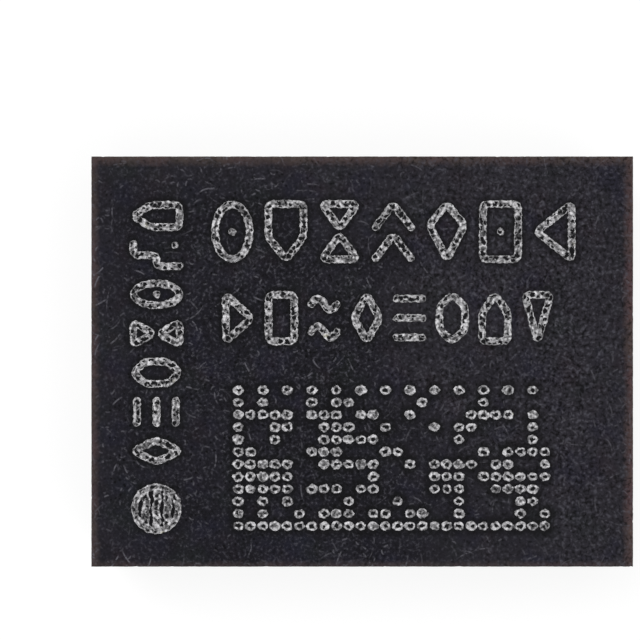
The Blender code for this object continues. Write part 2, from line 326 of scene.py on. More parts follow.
hairs, given, wanted = new_group("hairs", HAIR_NUMBERS, ["Mask"])
moved = vector("ADD", scaled(given["Place"], 1 / given["Spacing"]), given["Shift"])
cells = put(hairs, "TexVoronoi", {"Vector": moved, "Scale": 1}, voronoi_dimensions="2D")
turn, bend, chance = drawn(cells)
offset = scaled(vector("SUBTRACT", moved, cells["Position"]), given["Spacing"])
turned = put(hairs, "VectorRotate", {"Vector": offset, "Angle": turn * math.pi}, rotation_type="Z_AXIS")
along, across, _ = xyz(turned)
share_along = along / given["Length"]
bow = share_along * share_along * given["Length"] * given["Bend"] * (bend - 0.5)
thin = ramp(abs(across - bow), given["Width"] * 0.8, given["Width"] * 0.2)
short = ramp(abs(share_along), 0.5, 0.25)
filled = ramp(chance, given["Share"], given["Share"] * 0.3)
feed(wanted["Mask"], thin * short * filled)
print("hairs", len(hairs.nodes), "nodes")

# %% Specks and saw lines
specks, given, wanted = new_group("specks", ["Spacing", "Radius", "Share"], ["Mask"])
per_cell = scaled(given["Place"], 1 / given["Spacing"])
cells = put(specks, "TexVoronoi", {"Vector": per_cell, "Scale": 1})
core = ramp(cells["Distance"], given["Radius"], given["Radius"] * 0.4)
feed(wanted["Mask"], core * calc("LESS_THAN", drawn(cells)[0], given["Share"]))

saw_lines, given, wanted = new_group("saw_lines", [], ["Lines"])
x, y, z = xyz(given["Place"])
bent = z + calc("SINE", (x + y) * 0.002) * 30
drawn_out = put(saw_lines, "CombineXYZ", {"X": (x + y) * 0.03, "Y": bent})
feed(wanted["Lines"], cloud(drawn_out, 7, detail=3))
print("specks", len(specks.nodes), "nodes, saw lines", len(saw_lines.nodes))

# %% Distances from the rim
rim, given, wanted = new_group("rim", [], ["Left", "Right", "Back", "Front", "Nearest"])
x, y, _ = xyz(given["Place"])
distances = {"Left": x + HALF_X, "Right": HALF_X - x, "Back": HALF_Y - y, "Front": y + HALF_Y}
distances["Nearest"] = least(*distances.values())
for label, distance in distances.items():
    feed(wanted[label], distance)
print("node groups", [g.name for g in bpy.data.node_groups])

# %% [markdown]
# ## Moulding compound
#
# The cap is epoxy filled with tiny glass beads. On top it keeps the fine skin of
# the mould, nearly black and a little blue, with pale hairs and specks. Towards
# its edges the colour turns brown where the saw has warmed and rubbed it. The
# sawn sides are duller, with cut beads and the fine lines of the blade.
#
# The material tells top from sides by height. It reads an attribute named
# `clear`, made with the mesh further down, which is 0 beside a laser mark: the
# heat smooths the skin there, so hairs are missing and the black is deeper.
#
# The next cells build it up from broad tones to fine marks. First come soft
# clouds of three tints, and a lighter tone. It is stronger at the right, along
# three of the edges and in one pale patch.

# %% Moulding compound: clouds and lighter tone
PALE_PATCH = (640, 330, 0)

mould, tree = new_material("mould_compound", "151419", 0.6, specular=0.08)
place = in_microns(tree)
x, y, height = xyz(place)
is_top = ramp(height, TOP - 14, TOP - 5)
clear = attribute(tree, "clear")
sides = use(rim, place)

sway = (cloud(place, 500, 12) - 0.5) * 2400
lively = ramp(x + y * 0.4 + sway, -450, 900)
from_patch = vector("MULTIPLY", vector("SUBTRACT", place, PALE_PATCH), (1, 1.9, 0))
pale_patch = ramp(vector("LENGTH", from_patch)["Value"] + sway * 0.1, 760, 250)
# A lighter tone, stronger at the right, along three edges and in the pale patch.
lighter_tone = most(
    lively,
    pale_patch * 1.25,
    ramp(sides["Back"], 330, 60) * 0.5,
    ramp(sides["Left"], 300, 60) * 0.3,
    ramp(sides["Right"], 260, 30) * 1.15,
)
patches = cloud(place, 110, 1) + cloud(place, 380, 21)
colour = mix(ramp(patches, 0.6, 1.4), "151419", "201f27")
colour = paint(colour, "2a282e", lighter_tone * 0.8)
for size, seed, tint in ((230, 2, "261d23"), (260, 3, "1c2120"), (210, 22, "1e1e2e")):
    colour = paint(colour, tint, ramp(cloud(place, size, seed), 0.5, 0.72) * 0.45)
print("clouds and haze", len(tree.nodes), "nodes")

# %% [markdown]
# Along each edge the black turns warm. Noise wobbles the border of this band,
# and drives its colour between a red and an olive brown. A hair-thin line at the
# left and back edges catches the light.

# %% Moulding compound: warm edges
wobble = (cloud(place, 40, 6, detail=4) - 0.5) * 62
warm = ramp(cloud(place, 200, 9), 0.3, 0.7)
for side, reach, red, olive in (
    ("Front", 45, "433739", "3e3938"),
    ("Back", 68, "50403f", "4a413c"),
    ("Right", 70, "573f41", "52433f"),
    ("Left", 56, "4d3e3f", "473f3b"),
):
    fall = slide(sides[side] + wobble, 0.95, 0, until=reach)
    colour = mix(fall, colour, mix(warm, olive, red))
lit = least(sides["Left"], sides["Back"]) + wobble * 0.2
colour = paint(colour, "5a524f", ramp(lit, 12, 2) * 0.5)
print("with warm edges", len(tree.nodes), "nodes")

# %% [markdown]
# The grain is fine noise that lightens and darkens. At the left it is plain.
# Towards the right thin worms run through it: they lie where a twisted noise
# passes its middle value, which happens along lines.

# %% Moulding compound: grain
worms = ramp(abs(cloud(place, 36, 4, detail=1, twist=0.6) - 0.5), 0, 0.09)
ripple = cloud(place, 21, 4) + slide(worms, -0.13, 0.05)
grain = choose(lively, cloud(place, 18, 4.5), ripple)
contrast = slide(ramp(x + sway, -1400, -300), 0.62, 0.86)
contrast = contrast * slide(ramp(sides["Nearest"], 80, 400), 0.78, 1)
colour = paint(colour, "4b4a52", ramp(grain, 0.5, 0.78) * contrast)
colour = paint(colour, "030304", ramp(grain, 0.5, 0.24) * contrast)
colour = paint(colour, "0b0b0b", (1 - clear) * (0.7 - pale_patch * 0.4))
print("with grain", len(tree.nodes), "nodes")

# %% [markdown]
# Pits are dark specks, and dust is pale ones. The hairs come in four sizes, from
# fine flecks to a few long scratches. Noise breaks them up along their length,
# and gathers the small ones in crowds. Chips are the pale bites of the blade at
# the very edge.

# %% Moulding compound: pits, dust and hairs
crowded = ramp(cloud(place, 330, 15), 0.36, 0.54)
pits = use(specks, place, Spacing=29, Radius=0.37, Share=0.42)
pits = pits * crowded * ramp(sides["Nearest"], 60, 110)
colour = paint(colour, "030304", pits * (0.8 - lively * 0.35))

dust = use(specks, place, Spacing=37, Radius=0.3, Share=0.36)
dust = dust * ramp(cloud(place, 12, 13), 0.4, 0.7) * 0.5
fine = use(hairs, place, Spacing=50, Length=40, Width=9, Bend=2, Share=0.44, Shift=3)
bold = use(hairs, place, Spacing=105, Length=104, Width=8.5, Bend=1.3, Share=0.5, Shift=11)
scratch = use(hairs, place, Spacing=560, Length=250, Width=8, Bend=2.4, Share=0.5, Shift=9.7)
faint = use(hairs, place, Spacing=270, Length=200, Width=7, Bend=1.2, Share=0.5, Shift=4.3)
strokes = most(fine * 0.6, bold * 0.7) * ramp(cloud(place, 22, 17), 0.35, 0.6)
small = most(dust, strokes) * slide(crowded, 0.3, 1.1) * (1 - lively * 0.5)
large = most(scratch, faint * 0.7) * ramp(cloud(place, 20, 16), 0.4, 0.6) * 0.6
marks = most(small, large) * clear
colour = paint(colour, "626168", marks)
chips = ramp(cloud(place, 24, 8), 0.64, 0.72) * ramp(sides["Nearest"], 9, 5)
colour = paint(colour, "7c7674", chips)
print("with pits, dust and hairs", len(tree.nodes), "nodes")

# %% [markdown]
# The sides show what the blade cut: paler compound, its lines and the glass
# beads that it opened. The same masks that colour a surface also give it its
# relief, so that colour and bump agree.

# %% Moulding compound: sawn sides and relief
lines = use(saw_lines, place)
beads = use(specks, place, Spacing=17, Radius=0.3, Share=0.45)
cut = mix(cloud(place, 60, 11), "29282a", "363435")
cut = paint(cut, "4b494b", ramp(lines, 0.5, 0.75))
cut = paint(cut, "706e6f", beads * 0.6)
relief = choose(is_top, lines * 0.9 + beads * 0.3, grain * 0.5 + marks * 0.5)
finish_material(mould, mix(is_top, cut, colour), relief, 2, slide(grain, 0.55, 0.75))

# %% [markdown]
# ## Laser marks: the material
#
# The laser boils the skin of the compound. It foams up into two pale rims, with a
# dark groove between them and bridges of froth across it. The mesh of each
# mark carries an attribute named `edge`, which is 0 at the outline of the stroke
# and 1 in its middle. Between the rims stand burst bubbles: they are the dark
# cores of Voronoi cells. Noise pulls the place at which the cells are looked up,
# so the bubbles are ragged and not round.
#
# A dot is a single burst bubble. A second attribute, `pit`, turns the middle of
# a stroke dark: it is 0 along lines, 1 in an open dot, 0.35 in one that the
# froth has filled, and small in the disc.

# %% Froth: where it is dark
froth, tree = new_material("laser_froth", "a8a8aa", 0.7, specular=0.1)
place = in_microns(tree)
edge, pit = attribute(tree, "edge"), attribute(tree, "pit")
fray = cloud(place, 24, 1) - 0.5
frayed = edge + fray * 1.2
pull = put(tree, "TexNoise", {"Vector": place, "Scale": 1 / 22, "Detail": 1})["Color"]
ragged = vector("MULTIPLY_ADD", pull, (34, 34, 0), place)
cells = put(tree, "TexVoronoi", {"Vector": ragged, "Scale": 1 / 29})
bubble = ramp(cells["Distance"] + fray * 0.35, 0.6, 0.4)
bubble = bubble * ramp(drawn(cells)[0], 0.95, 0.8) * ramp(frayed, 0.16, 0.34)
groove = ramp(frayed, 0.62, 0.85) * 0.75 * ramp(cloud(place, 60, 9), 0.4, 0.6)
centre = ramp(edge + fray * 1.5, 0.46, 0.66)
dark = choose(pit, most(bubble, groove), centre)
print("bubbles and groove", len(tree.nodes), "nodes")

# %% Froth: its colours
pale = (1 - dark) * ramp(frayed, -0.1, 0.12)
tone = ramp(cloud(place, 17, 5), 0.3, 0.79)
light = mix(tone, "525153", "efeef1")
light = paint(light, "b5b297", ramp(cloud(place, 110, 7), 0.68, 0.8))
finish_material(froth, mix(pale, "121214", light), pale * 0.7 + tone * 0.3, 2.5)

# %% [markdown]
# ## Laser marks: the mesh
#
# Every mark is a stroke: a closed thin body with a rim along both sides. A flat
# grid is wrapped into that shape. For a closed line, such as a box, the grid's
# columns run round the line and its rows run across it. For an open line they
# run round the outline, ends included, and the rows run inwards until both sides
# meet on the centre line. A single point gives a round dot the same way. The
# border of the grid is then extruded down into the cap and closed.

# %% From corner points to an even path
STROKE_HALF = 24
CORNER_REACH, CORNER_SHARE = 34, 0.45
CURVE_STEPS = (0, 0.2, 0.4, 0.6, 0.8, 1)
PATH_STEP = 9


def softened(corners, closed):
    """The line through the corners, with each corner turned into a short curve."""
    corners = [Vector(c) for c in corners]
    count = len(corners)
    if count < 3:
        return corners
    points = []
    for i, corner in enumerate(corners):
        if not closed and i in (0, count - 1):
            points.append(corner)
            continue
        ends = []
        for other in (corners[i - 1], corners[(i + 1) % count]):
            away = other - corner
            ends.append(corner + away.normalized() * min(CORNER_REACH, CORNER_SHARE * away.length))
        for share in CURVE_STEPS:
            points.append(ends[0].lerp(corner, share).lerp(corner.lerp(ends[1], share), share))
    return points


def even_path(points, closed):
    """The same line as points about PATH_STEP apart."""
    if len(points) < 2:
        return points
    line = points + points[:1] if closed else points
    lengths = [0]
    for a, b in zip(line, line[1:]):
        lengths.append(lengths[-1] + (b - a).length)
    count = max(2, round(lengths[-1] / PATH_STEP))
    path, k = [], 0
    for i in range(count if closed else count + 1):
        want = lengths[-1] * i / count
        while k < len(lengths) - 2 and lengths[k + 1] < want:
            k += 1
        part = (want - lengths[k]) / max(lengths[k + 1] - lengths[k], 1e-9)
        path.append(line[k].lerp(line[k + 1], part))
    return path


def headings(path, closed):
    """The direction of the path at each of its points."""
    if len(path) == 1:
        return [Vector((1, 0))]
    line = path[-1:] + path + path[:1] if closed else path[:1] + path + path[-1:]
    return [(after - before).normalized() for before, after in zip(line, line[2:])]


trial = even_path(softened([(0, 0), (300, 0), (300, 300)], False), False)
print("a bent line of 600 microns becomes", len(trial), "points")

# %% [markdown]
# The rows of a stroke stand closer together near its outline, where the rim
# rises and falls steeply. `EDGE_ROWS` says how far inwards each row lies and
# `RIDGE` how high, in microns. Two noises make it look boiled: a slow one
# swells the outline, and a quick one lifts the froth.

# %% One stroke
EDGE_ROWS = (0, 0.08, 0.25, 0.43, 0.65, 1)
RIDGE = (-1, 1.5, 4.2, 3.2, 1.6, 1.2)
CAP_STEPS = 8
SWELL, SWELL_SIZE = 0.24, 18
LUMP, LUMP_SIZE = 0.55, 9
STROKE_DEPTH = 4


def outline_of(path, closed):
    """Pairs of a point on the centre line and the direction outwards from it."""
    left = [Vector((-way.y, way.x)) for way in headings(path, closed)]
    pairs = list(zip(path, left))
    if not closed:
        turns = [Matrix.Rotation(-math.pi * k / CAP_STEPS, 2) for k in range(1, CAP_STEPS)]
        back = [(p, -n) for p, n in reversed(pairs)]
        pairs += [(path[-1], turn @ left[-1]) for turn in turns]
        pairs += back + [(path[0], turn @ -left[0]) for turn in turns]
    return pairs + pairs[:1]


def new_parts(grown, kind):
    """The vertices or edges among what an extrusion has made."""
    return [g for g in grown["geom"] if isinstance(g, kind)]


def add_stroke(bm, layers, path, closed, half_width, lift=0, squash=1, pit=0):
    pairs = outline_of(path, closed)
    reach = [1 - e for e in EDGE_ROWS]
    heights = list(RIDGE)
    if closed:
        reach = reach + [-r for r in reversed(reach[:-1])]
        heights = heights + list(reversed(heights[:-1]))
    columns, rows = len(pairs) - 1, len(reach) - 1
    made = bmesh.ops.create_grid(bm, x_segments=columns, y_segments=rows, size=0.5)["verts"]
    for vert in made:
        i, j = round((vert.co.x + 0.5) * columns), round((vert.co.y + 0.5) * rows)
        centre, outwards = pairs[i]
        outwards = Vector((outwards.x, outwards.y * squash))
        swell = 1 + SWELL * noise.noise(Vector((*(centre + outwards * half_width), 0)) / SWELL_SIZE)
        spot = centre + outwards * half_width * swell * reach[j]
        froth_height = 1 + LUMP * noise.noise(Vector((*spot, 5)) / LUMP_SIZE)
        rise = heights[j] * froth_height if heights[j] > 0 else heights[j]
        vert.co = Vector((*spot, TOP + rise + lift))
        vert[layers["edge"]] = 1 - abs(reach[j])
        vert[layers["pit"]] = pit
    bmesh.ops.remove_doubles(bm, verts=made, dist=SAME_SPOT)
    made = [v for v in made if v.is_valid]
    border = list({e for v in made for e in v.link_edges if e.is_boundary})
    skirt = bmesh.ops.extrude_edge_only(bm, edges=border)
    for vert in new_parts(skirt, bmesh.types.BMVert):
        vert.co.z = TOP - STROKE_DEPTH
    hem = [e for e in new_parts(skirt, bmesh.types.BMEdge) if e.is_boundary]
    if closed:
        bmesh.ops.bridge_loops(bm, edges=hem)
    else:
        bmesh.ops.edgeloop_fill(bm, edges=hem)


print("rows from the outline to the middle", len(EDGE_ROWS))

# %% [markdown]
# ## The rows of outlines
#
# The laser marks the top in two rows, with a third up its left side. Each mark
# is a plain outline, such as a box or a diamond. It could be drawn as a curve,
# but a few corners are enough for it. So each shape is a list of lines on a
# cell from -1 to 1, and a line is closed or open, as the word before its points
# says.

# %% The shapes
CLOSED, OPEN = True, False
WAVE = [(x / 4 - 1, 0.26 * math.sin(x * math.pi / 4)) for x in range(9)]
RING = [(math.cos(t * math.pi / 8), math.sin(t * math.pi / 8)) for t in range(16)]
BOX = [(-1, 1), (1, 1), (1, -1), (-1, -1)]
SHAPES = {
    "diamond": [(CLOSED, [(0, 1), (1, 0), (0, -1), (-1, 0)])],
    "box": [(CLOSED, BOX)],
    "down": [(CLOSED, [(-1, 1), (1, 1), (0, -1)])],
    "right": [(CLOSED, [(-1, 1), (1, 0), (-1, -1)])],
    "left": [(CLOSED, [(1, 1), (1, -1), (-1, 0)])],
    "hexagon": [(CLOSED, [(0, 1), (1, 0.5), (1, -0.5), (0, -1), (-1, -0.5), (-1, 0.5)])],
    "house": [(CLOSED, [(0, 1), (1, 0.24), (1, -1), (-1, -1), (-1, 0.24)])],
    "shield": [(CLOSED, [(-1, 1), (1, 1), (1, -0.2), (0, -1), (-1, -0.2)])],
    "kite": [(CLOSED, [(0, 1), (1, 0.24), (0, -1), (-1, 0.24)])],
    "glass": [(CLOSED, [(-1, 1), (1, 1), (0, 0.12)]), (CLOSED, [(0, -0.12), (1, -1), (-1, -1)])],
    "target": [(CLOSED, RING), (OPEN, [(0, 0)])],
    "boxed_dot": [(CLOSED, BOX), (OPEN, [(0, 0)])],
    "bars": [(OPEN, [(-1, y), (1, y)]) for y in (0.84, 0, -0.84)],
    "peaks": [(OPEN, [(-1, y - 0.84), (0, y), (1, y - 0.84)]) for y in (1, -0.12)],
    "waves": [(OPEN, [(x, y + lift) for x, y in WAVE]) for lift in (0.6, -0.6)],
    "steps": [(OPEN, [(-1, -1), (-1, 0), (0, 0), (0, 1), (1, 1)]), (OPEN, [(0.9, -0.8)])],
}
FIRST_LINE = ("target", "shield", "glass", "peaks", "kite", "boxed_dot", "left")
SECOND_LINE = ("right", "box", "waves", "diamond", "bars", "hexagon", "house", "down")
SIDE_COLUMN = ("diamond", "bars", "hexagon", "glass", "target", "steps", "house")

# each row: its shapes, the middles of its first and last cells, a cell's size, its turn
ROWS = (
    (FIRST_LINE, (-790, 790), (1166, 790), (262, 384), 0),
    (SECOND_LINE, (-751, 265), (1066, 265), (204, 330), 0),
    (SIDE_COLUMN, (-1251, -543), (-1251, 885), (183, 329), math.pi / 2),
)


def strokes_of_rows():
    """Every stroke of the three rows, as its path and whether it is closed."""
    for names, first, last, (width, height), turn in ROWS:
        half_x, half_y = width / 2 - STROKE_HALF, height / 2 - STROKE_HALF
        for k, name in enumerate(names):
            centre = Vector(first).lerp(Vector(last), k / (len(names) - 1))
            for closed, corners in SHAPES[name]:
                laid = [Vector((x * half_x, y * half_y)) for x, y in corners]
                laid = [centre + Matrix.Rotation(turn, 2) @ p for p in laid]
                yield even_path(softened(laid, closed), closed), closed


print("shapes", len(SHAPES), "in rows of", [len(row[0]) for row in ROWS])

# %% [markdown]
# ## The field of dots and the disc
#
# In front of the two rows lies a field of dots, 26 by 12 places. Its left column
# and its front row are full and its back row has every second dot. Inside, a
# seeded draw fills about half the places. The disc in the corner shows where
# land 1 is: the laser draws it as a ring filled with upright hatching, whose
# lines sway a little.

# %% Dots and disc
DOT_COLUMNS, DOT_ROWS = 26, 12
DOT_FIRST, DOT_LAST = Vector((-754, -999)), Vector((1110, -173))
DOT_HALF, DOT_SQUASH = 35.5, 0.84
DOTS_DRAWN, DOTS_FILLED = 0.47, 0.25
DISC_CENTRE, DISC_RADIUS = Vector((-1251, -894)), 155
HATCH_PITCH, HATCH_HALF, DISC_RIM = 65, 25, 21
HATCH_SWAY, SWAY_LENGTH = 15, 45
HATCH_PIT = 0.22


def dot_places():
    """Where the dots of the field lie."""
    span = DOT_LAST - DOT_FIRST
    places = []
    for row in range(DOT_ROWS):
        for column in range(DOT_COLUMNS):
            is_dot = random.random() < DOTS_DRAWN
            if row == DOT_ROWS - 1:
                is_dot = column % 2 == 0
            if is_dot or column == 0 or row == 0:
                share = Vector((column / (DOT_COLUMNS - 1), row / (DOT_ROWS - 1)))
                places.append(DOT_FIRST + share * span)
    return places


def hatch_paths():
    """Upright lines that fill the disc inside its ring."""
    paths = []
    for k in (-1, 0, 1):
        x = k * HATCH_PITCH
        half = math.sqrt((DISC_RADIUS - 2 * DISC_RIM) ** 2 - x * x)
        path = even_path([DISC_CENTRE + Vector((x, end)) for end in (-half, half)], False)
        sways = [HATCH_SWAY * noise.noise(Vector((*p, 0)) / SWAY_LENGTH) for p in path]
        paths.append([p + Vector((sway, 0)) for p, sway in zip(path, sways)])
    return paths


print("hatching", [len(path) for path in hatch_paths()], "points")

# %% [markdown]
# ## From a bmesh to a finished piece
#
# Every new piece is finished in the same way: its faces are turned outwards, it
# is scaled down to metres, and it gets its material and is tied to the body. Each
# material can be baked into a picture. A map says which part of the picture each
# face takes, and one made for the piece gives most of the picture to the surfaces
# that are seen.

# %% Helpers that finish a piece
MAP_MARGIN = 0.005
SIDE_DEPTH = 6


def new_object(name, bm):
    """Scales a mesh down to metres and puts it in the scene."""
    bmesh.ops.scale(bm, vec=(MICRON,) * 3, verts=bm.verts)
    mesh = bpy.data.meshes.new(name)
    bm.to_mesh(mesh)
    bm.free()
    return add_object(name, mesh)


def finish_piece(name, bm, material):
    """Makes a mesh a smooth piece that rides on the body."""
    bmesh.ops.recalc_face_normals(bm, faces=bm.faces)
    piece = new_object(name, bm)
    piece.data.shade_smooth()
    piece.data.materials.append(material)
    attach(piece, "root")
    print(name, len(piece.data.polygons), "faces")
    return piece


def bake_map(mesh, spot):
    """Writes a map. spot gives a corner's place on it from the face and the corner."""
    layer = mesh.uv_layers.new(name="OFBake")
    for face in mesh.polygons:
        middle = face.center / MICRON
        for k in face.loop_indices:
            at = mesh.vertices[mesh.loops[k].vertex_index].co / MICRON
            u, v = spot(face.normal, middle, at)
            layer.data[k].uv = (u + MAP_MARGIN, v + MAP_MARGIN)


def is_outer_side(normal, middle):
    """Whether a face belongs to one of the four sawn sides."""
    outer = HALF_X - abs(middle.x) < SIDE_DEPTH or HALF_Y - abs(middle.y) < SIDE_DEPTH
    return outer and abs(normal.z) < 0.5


# %% [markdown]
# The marks also leave their points in a list, with how wide they are there, for
# the cap to know where it has been heated. Neighbours get slightly different
# heights, so that no two faces coincide where strokes touch.

# %% Making the marks
SEEN_SHARE, HIDDEN_SHARE, MAP_SHARE = 0.9, 0.09, 0.99
MARK_TOP = TOP + 8
STROKE_LIFTS, RING_LIFT = (0, 0.15, 0.3), 0.4
OPEN_PIT, FILLED_PIT = 1, 0.35
DOT_SIZES = (0.92, 1.06)
HATCH_CLEAR = 40
mark_points = []


def marks_mesh():
    """An empty bmesh with the two attributes that the froth reads."""
    bm = bmesh.new()
    return bm, {name: bm.verts.layers.float.new(name) for name in ("edge", "pit")}


def map_marks(mesh):
    """A map laid flat from above. Faces under the top share a small strip."""
    corners = [v.co / MICRON for v in mesh.vertices]
    low, high = (Vector(map(pick, zip(*corners))) for pick in (min, max))
    span = max(high.x - low.x, (high.y - low.y) / SEEN_SHARE)

    def spot(normal, middle, at):
        u, v = (at.x - low.x) / span, (at.y - low.y) / span
        if normal.z < 0.2:
            lean = (MARK_TOP - at.z) / span
            u, v = (u + lean) * HIDDEN_SHARE, SEEN_SHARE + MAP_MARGIN + (v + lean) * HIDDEN_SHARE
        return u * MAP_SHARE, v * MAP_SHARE

    bake_map(mesh, spot)


bm, layers = marks_mesh()
for k, (path, closed) in enumerate(strokes_of_rows()):
    add_stroke(bm, layers, path, closed, STROKE_HALF, lift=STROKE_LIFTS[k % 3])
    mark_points += [(p, STROKE_HALF) for p in path]
shapes_piece = finish_piece("laser_shapes", bm, froth)

bm, layers = marks_mesh()
for spot in dot_places():
    size = DOT_HALF * random.uniform(*DOT_SIZES)
    pit = FILLED_PIT if random.random() < DOTS_FILLED else OPEN_PIT
    add_stroke(bm, layers, [spot], False, size, squash=DOT_SQUASH, pit=pit)
    mark_points.append((spot, DOT_HALF))
dots_piece = finish_piece("laser_dots", bm, froth)

bm, layers = marks_mesh()
ring = even_path([DISC_CENTRE + Vector(p) * (DISC_RADIUS - DISC_RIM) for p in RING], True)
add_stroke(bm, layers, ring, True, DISC_RIM, lift=RING_LIFT, pit=HATCH_PIT)
for path in hatch_paths():
    add_stroke(bm, layers, path, False, HATCH_HALF, pit=HATCH_PIT)
    mark_points += [(p, HATCH_CLEAR) for p in path]
disc_piece = finish_piece("laser_disc", bm, froth)

for piece in (shapes_piece, dots_piece, disc_piece):
    map_marks(piece.data)
print("mark points", len(mark_points))

# %% [markdown]
# ## The cap
#
# The CAD cap has the right size and, inside, a pocket round every part. Its
# outside gets a finer skin: a close grid for the top, whose border is extruded
# in steps over the rounded edge and down the sides. Noise roughens the edge, as
# the saw does. A Boolean with the CAD cap then keeps the pockets.

# %% The cap's skin
GRID_STEP = 12
EDGE_ROUND, ROUND_STEPS = 17, 4
SIDE_ROWS, OVERRUN = 7, 3
SKIN = 0.6

inner = Vector((HALF_X - SKIN - EDGE_ROUND, HALF_Y - SKIN - EDGE_ROUND))
rings = []
for k in range(1, ROUND_STEPS + 1):
    angle = math.pi / 2 * k / ROUND_STEPS
    rings.append((EDGE_ROUND * math.sin(angle), TOP - SKIN - EDGE_ROUND * (1 - math.cos(angle))))
side_top = rings[-1][1]
side_reach = CAP_BOTTOM - OVERRUN - side_top
rings += [(EDGE_ROUND, side_top + side_reach * k / SIDE_ROWS) for k in range(1, SIDE_ROWS + 1)]

bm = bmesh.new()
cells_x, cells_y = round(LONG / GRID_STEP), round(WIDE / GRID_STEP)
bmesh.ops.create_grid(bm, x_segments=cells_x, y_segments=cells_y, size=0.5)
bmesh.ops.scale(bm, vec=(2 * inner.x, 2 * inner.y, 1), verts=bm.verts)
bmesh.ops.translate(bm, vec=(0, 0, TOP - SKIN), verts=bm.verts)
reach = 0
edges = [e for e in bm.edges if e.is_boundary]
for out, level in rings:
    grown = bmesh.ops.extrude_edge_only(bm, edges=edges)
    verts = new_parts(grown, bmesh.types.BMVert)
    factor = [(inner[a] + out) / (inner[a] + reach) for a in (0, 1)]
    bmesh.ops.scale(bm, vec=(*factor, 1), verts=verts)
    for vert in verts:
        vert.co.z = level
    edges = [e for e in new_parts(grown, bmesh.types.BMEdge) if e.is_boundary]
    reach = out
bmesh.ops.edgeloop_fill(bm, edges=edges)
print("skin", len(bm.verts), "vertices in", len(rings), "rings round the top")

# %% [markdown]
# The wear is strongest at the very edge. Two noises rub it down, and the peaks
# of a third bite small nicks out of it. The worn vertices move inwards and down,
# so the body never grows.

# %% The cap's worn edge
WEAR_WIDTH = EDGE_ROUND + 10
WEAR, NICKS = 1.6, 9

for vert in bm.verts:
    if vert.co.z < side_top - 1:
        continue
    inset = min(HALF_X - abs(vert.co.x), HALF_Y - abs(vert.co.y))
    vert.co.z -= 0.5 * (0.5 + 0.5 * noise.noise(vert.co / 35))
    if inset < WEAR_WIDTH:
        wear = WEAR * abs(noise.noise(vert.co / 22)) + WEAR * abs(noise.noise(vert.co / 90))
        nick = max(0, noise.noise(vert.co / 30 + Vector((40, 0, 0))) - 0.4) * NICKS
        rubbed = (wear + nick) * (1 - inset / WEAR_WIDTH)
        vert.co.z -= rubbed * 0.7
        for axis, half in enumerate((HALF_X, HALF_Y)):
            if half - abs(vert.co[axis]) < EDGE_ROUND:
                vert.co[axis] -= math.copysign(rubbed, vert.co[axis])
cap = finish_piece("mould_body", bm, mould)

# %% [markdown]
# For the Boolean, a copy of the CAD cap is pushed outwards a few microns at its
# top and sides. It then wraps the skin, and only its pockets and its flat
# underside cut it.

# %% The pockets inside it
SHELL, SHELL_GROWTH = 20, 6

bm = merged_copy("mould_cap")
for vert in bm.verts:
    for axis, half in enumerate((HALF_X, HALF_Y)):
        if half - abs(vert.co[axis]) < SHELL:
            vert.co[axis] += math.copysign(SHELL_GROWTH, vert.co[axis])
    if TOP - vert.co.z < SHELL:
        vert.co.z += SHELL_GROWTH
pockets = new_object("cap_pockets", bm)
keep = cap.modifiers.new("keep_pockets", "BOOLEAN")
keep.operation = "INTERSECT"
keep.object = pockets
keep.solver = "EXACT"
bpy.context.view_layer.update()
graph = bpy.context.evaluated_depsgraph_get()
hollow = bpy.data.meshes.new_from_object(cap.evaluated_get(graph))
cap.modifiers.clear()
cap.data = hollow
bpy.data.objects.remove(pockets)
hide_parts("mould_cap")
print("cap", len(hollow.polygons), "faces")

# %% [markdown]
# A search tree of all points on the marks tells each vertex of the cap how far
# the nearest mark is, which gives the attribute `clear`. The cap's own map for
# baking gives the top nearly the whole picture. The four sides lie in two strips
# above it, and what is hidden shares the small rest.

# %% The cap's clear attribute and its map
CLEAR_FROM, CLEAR_WIDTH = 6, 34
TOP_SCALE = MAP_SHARE / LONG
STRIP_GAP = 20
SIDE_SCALE = 0.985 / (LONG + WIDE + STRIP_GAP)
STRIPS_FROM, REST_FROM = 0.76, 0.94

tree_of_marks = kdtree.KDTree(len(mark_points))
for k, (spot, _) in enumerate(mark_points):
    tree_of_marks.insert(Vector((*spot, 0)), k)
tree_of_marks.balance()
clear_layer = hollow.attributes.new("clear", "FLOAT", "POINT")
for vert in hollow.vertices:
    at = vert.co / MICRON
    _, k, gap = tree_of_marks.find(Vector((at.x, at.y, 0)))
    free = (gap - mark_points[k][1] - CLEAR_FROM) / CLEAR_WIDTH
    clear_layer.data[vert.index].value = min(max(free, 0), 1)


def cap_spot(normal, middle, at):
    x, y, up = at.x + HALF_X, at.y + HALF_Y, at.z - CAP_BOTTOM
    if middle.z > side_top and normal.z > 0.05:
        return x * TOP_SCALE, y * TOP_SCALE
    if is_outer_side(normal, middle):
        along_x = abs(normal.y) > abs(normal.x)
        run = x if along_x else y + LONG + STRIP_GAP
        row = 0 if (normal.y if along_x else normal.x) > 0 else 1
        return run * SIDE_SCALE, STRIPS_FROM + (up + 10 + row * (TALL + 25)) * SIDE_SCALE
    return (x + up * 0.4) / LONG * 0.07, REST_FROM + (y + up * 0.3) / LONG * 0.05


bake_map(hollow, cap_spot)
print("map made for", len(hollow.polygons), "faces")
